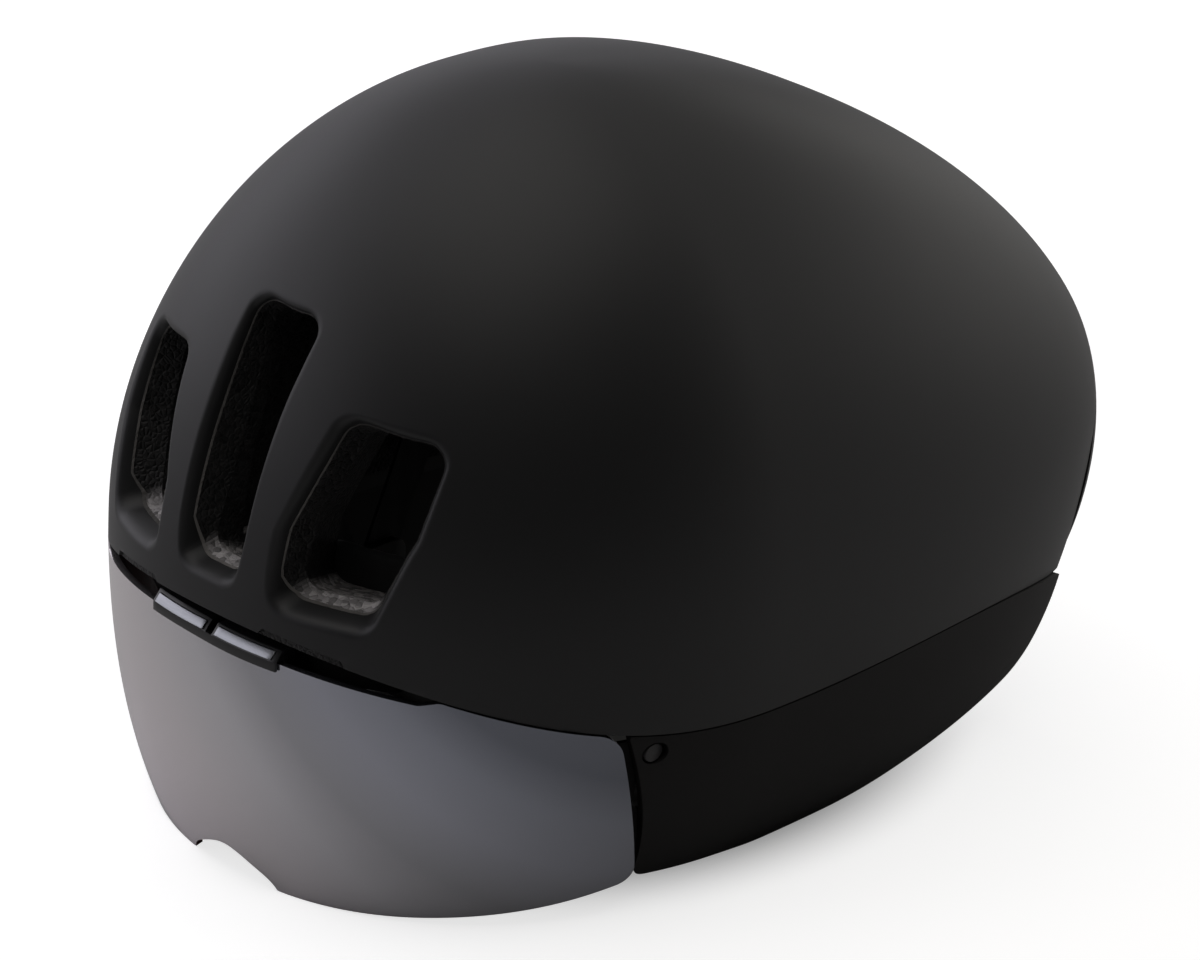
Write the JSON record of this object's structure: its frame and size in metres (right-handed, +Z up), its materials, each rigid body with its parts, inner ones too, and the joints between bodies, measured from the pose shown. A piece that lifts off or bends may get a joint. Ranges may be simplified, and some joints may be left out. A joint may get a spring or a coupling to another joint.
{
  "type": "aero time trial helmet",
  "caption": "Smooth egg-shaped cycling time trial helmet with front air ports, a clip-on mirror visor, soft ear covers and a dial fit system.",
  "frame": {"origin": "on the ground under the middle of the helmet's box", "axes": "+Z up, -Y to the brow, +X to the wearer's left"},
  "size_m": [0.2085, 0.2979, 0.2119],
  "materials": {
    "shell_skin": "matte",
    "foam_core": "matte",
    "tail_plastic": "satin",
    "mirror_lens": "polished",
    "clip_plastic": "satin",
    "bright_steel": "polished",
    "inner_plastic": "matte",
    "cover_skin": "matte",
    "stud_grey": "satin",
    "pad_fabric": "matte",
    "webbing": "matte",
    "buckle_plastic": "satin",
    "fit_plastic": "satin",
    "dial_rubber": "matte"
  },
  "bodies": {
    "helmet": {"outer_shell": "shell_skin", "foam_brow": "foam_core", "foam_crown": "foam_core", "foam_tail": "foam_core", "foam_nape": "foam_core", "foam_side_left": "foam_core", "foam_side_right": "foam_core", "tail_cap": "tail_plastic", "brow_dock": "inner_plastic", "dock_magnet_left": "bright_steel", "dock_magnet_right": "bright_steel", "cover_rail_left": "inner_plastic", "cover_rail_right": "inner_plastic", "cover_stud_left": "stud_grey", "cover_stud_right": "stud_grey", "brow_pad": "pad_fabric", "crown_pad_left": "pad_fabric", "crown_pad_right": "pad_fabric", "height_guide": "inner_plastic", "front_anchor_left": "inner_plastic", "front_anchor_right": "inner_plastic", "rear_anchor_left": "inner_plastic", "rear_anchor_right": "inner_plastic", "front_web_left": "webbing", "front_web_right": "webbing", "rear_web_left": "webbing", "rear_web_right": "webbing", "divider_left": "inner_plastic", "divider_right": "inner_plastic", "chin_web_left": "webbing", "chin_web_right": "webbing", "buckle_socket": "buckle_plastic"},
    "visor": {"visor_lens": "mirror_lens", "visor_clip": "clip_plastic", "clip_plate_left": "bright_steel", "clip_plate_right": "bright_steel"},
    "cover_left": {"ear_cover_left": "cover_skin"},
    "cover_right": {"ear_cover_right": "cover_skin"},
    "cradle_body": {"cradle": "fit_plastic", "cradle_pad_left": "pad_fabric", "cradle_pad_right": "pad_fabric", "height_strap": "fit_plastic", "dial_housing": "fit_plastic"},
    "dial": {"dial_knob": "dial_rubber", "dial_pinion": "fit_plastic"},
    "belt_left_body": {"belt_left": "fit_plastic"},
    "belt_right_body": {"belt_right": "fit_plastic"},
    "buckle_tongue_body": {"buckle_tongue": "buckle_plastic"}
  },
  "joints": [
    {"name": "visor_pull", "type": "slide", "parent": "helmet", "child": "visor", "axis": [0, -1, 0], "range_m": [0, 0.04]},
    {"name": "cover_left_pull", "type": "slide", "parent": "helmet", "child": "cover_left", "axis": [1, 0, 0], "range_m": [0, 0.03]},
    {"name": "cover_right_pull", "type": "slide", "parent": "helmet", "child": "cover_right", "axis": [-1, 0, 0], "range_m": [0, 0.03]},
    {"name": "cradle_height", "type": "slide", "parent": "helmet", "child": "cradle_body", "axis": [0, 0, 1], "range_m": [-0.01, 0.01]},
    {"name": "dial_turn", "type": "hinge", "parent": "cradle_body", "child": "dial", "pos_m": [0, 0.089, 0.05], "axis": [0, -1, 0], "range_deg": [0, 100]},
    {"name": "belt_left_draw", "type": "slide", "parent": "cradle_body", "child": "belt_left_body", "axis": [-1, 0, 0], "range_m": [0, 0.009]},
    {"name": "belt_right_draw", "type": "slide", "parent": "cradle_body", "child": "belt_right_body", "axis": [1, 0, 0], "range_m": [0, 0.009]},
    {"name": "buckle_release", "type": "slide", "parent": "helmet", "child": "buckle_tongue_body", "axis": [1, 0, 0], "range_m": [0, 0.022], "deforming": ["chin_web_left"]}
  ],
  "couplings": [
    {"joint": "belt_left_draw", "follows": "dial_turn", "m_per_rad": 0.005},
    {"joint": "belt_right_draw", "follows": "dial_turn", "m_per_rad": 0.005}
  ]
}
